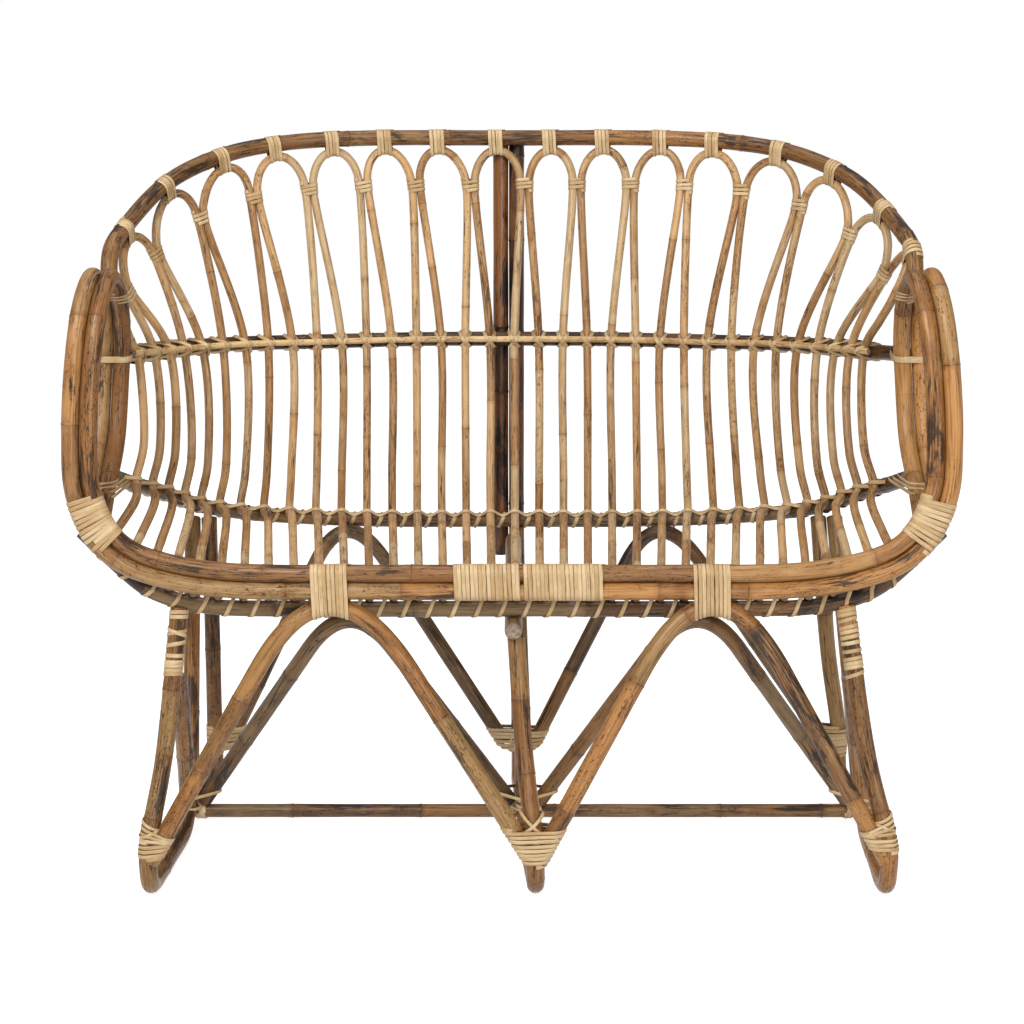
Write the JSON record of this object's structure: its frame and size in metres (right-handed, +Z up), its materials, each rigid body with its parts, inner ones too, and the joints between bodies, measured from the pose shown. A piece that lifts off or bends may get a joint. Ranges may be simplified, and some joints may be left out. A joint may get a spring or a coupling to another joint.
{
  "type": "garden sofa",
  "caption": "Two-seat garden sofa of bent rattan cane with a looped spindle back and seat, hoop arms, arched base and flat cane bindings.",
  "frame": {"origin": "middle of the bounding box's base, on the floor", "axes": "+Z up, the sitter looks towards -Y, +X to the right seen from the front"},
  "size_m": [1.1428, 0.7006, 0.9393],
  "materials": {
    "cane": "golden to reddish brown rattan, varnished, semi-gloss",
    "pole": "dark brown rattan, varnished",
    "spindle": "greyish tan thin rattan, semi-gloss",
    "strip": "pale straw flat binding cane, glossy skin side"
  },
  "bodies": {
    "root": {"inner_arm_cane_left": "cane", "inner_arm_cane_right": "cane", "outer_arm_cane_left": "cane", "outer_arm_cane_right": "cane", "top_back_rail": "cane", "mid_back_rail": "pole", "lower_back_rail": "pole", "seat_front_pole": "pole", "hairpin_spindle_01": "spindle", "hairpin_spindle_02": "spindle", "hairpin_spindle_03": "spindle", "hairpin_spindle_04": "spindle", "hairpin_spindle_05": "spindle", "hairpin_spindle_06": "spindle", "hairpin_spindle_07": "spindle", "hairpin_spindle_08": "spindle", "hairpin_spindle_09": "spindle", "hairpin_spindle_10": "spindle", "hairpin_spindle_11": "spindle", "hairpin_spindle_12": "spindle", "hairpin_spindle_13": "spindle", "hairpin_spindle_14": "spindle", "hairpin_spindle_15": "spindle", "hairpin_spindle_16": "spindle", "hairpin_spindle_17": "spindle", "mid_back_lath": "strip", "back_post_left": "pole", "back_post_right": "pole", "left_front_leg_cane": "cane", "left_rear_leg_cane": "cane", "centre_front_leg_cane": "cane", "centre_rear_leg_cane": "cane", "right_front_leg_cane": "cane", "right_rear_leg_cane": "cane", "stretcher": "pole", "seat_bearer": "pole", "front_arch_left": "cane", "second_arch_left": "pole", "rear_arch_left": "pole", "front_arch_right": "cane", "second_arch_right": "pole", "rear_arch_right": "pole", "centre_winding_left": "strip", "centre_winding_right": "strip", "arch_winding_left": "strip", "arch_winding_right": "strip", "corner_winding_left": "strip", "corner_winding_right": "strip", "left_front_foot_winding": "strip", "left_rear_foot_winding": "strip", "centre_front_foot_winding": "strip", "centre_rear_foot_winding": "strip", "right_front_foot_winding": "strip", "right_rear_foot_winding": "strip"}
  },
  "joints": []
}
